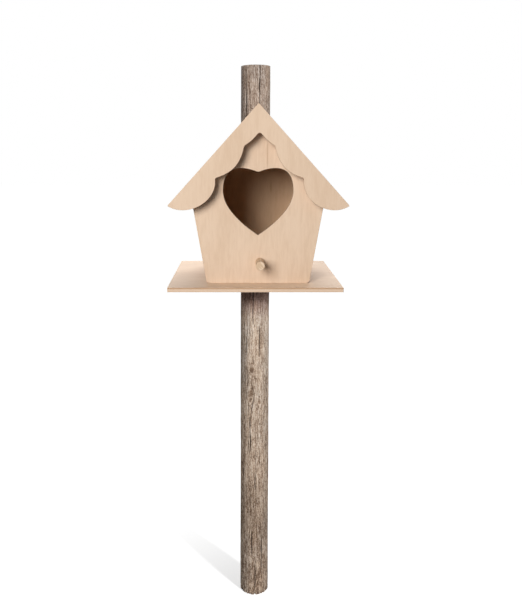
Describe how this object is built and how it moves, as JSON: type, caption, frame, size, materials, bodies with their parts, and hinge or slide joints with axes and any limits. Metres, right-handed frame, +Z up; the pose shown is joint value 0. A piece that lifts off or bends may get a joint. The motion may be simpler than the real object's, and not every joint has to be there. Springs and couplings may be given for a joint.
{
  "type": "nest box on a post",
  "caption": "Gabled plywood nest box with a heart-shaped entrance, scalloped bargeboard, dowel perch and wide floor board, screwed to the front of a round weathered stake.",
  "frame": {"origin": "on the axis of the round post, at the flat face of its foot", "axes": "+Z up the post, -Y out of the front of the house, +X to the right of someone facing the front"},
  "size_m": [0.2012, 0.207, 0.74],
  "materials": {
    "plywood": "bare sanded plywood, unfinished",
    "dowel": "bare hardwood dowel",
    "strip_wood": "bare planed softwood",
    "weathered_wood": "grey-brown, weathered and checked",
    "steel": "zinc-plated screw"
  },
  "bodies": {
    "root": {"post": "weathered_wood", "floor_board": "plywood", "front_wall": "plywood", "back_wall": "plywood", "left_wall": "plywood", "right_wall": "plywood", "left_roof_board": "plywood", "right_roof_board": "plywood", "bargeboard": "plywood", "perch": "dowel", "ridge_strip": "strip_wood", "front_left_strip": "strip_wood", "front_right_strip": "strip_wood", "back_left_strip": "strip_wood", "back_right_strip": "strip_wood", "left_floor_cleat": "strip_wood", "right_floor_cleat": "strip_wood", "left_trim_batten": "strip_wood", "right_trim_batten": "strip_wood", "upper_screw": "steel", "lower_screw": "steel"}
  },
  "joints": []
}
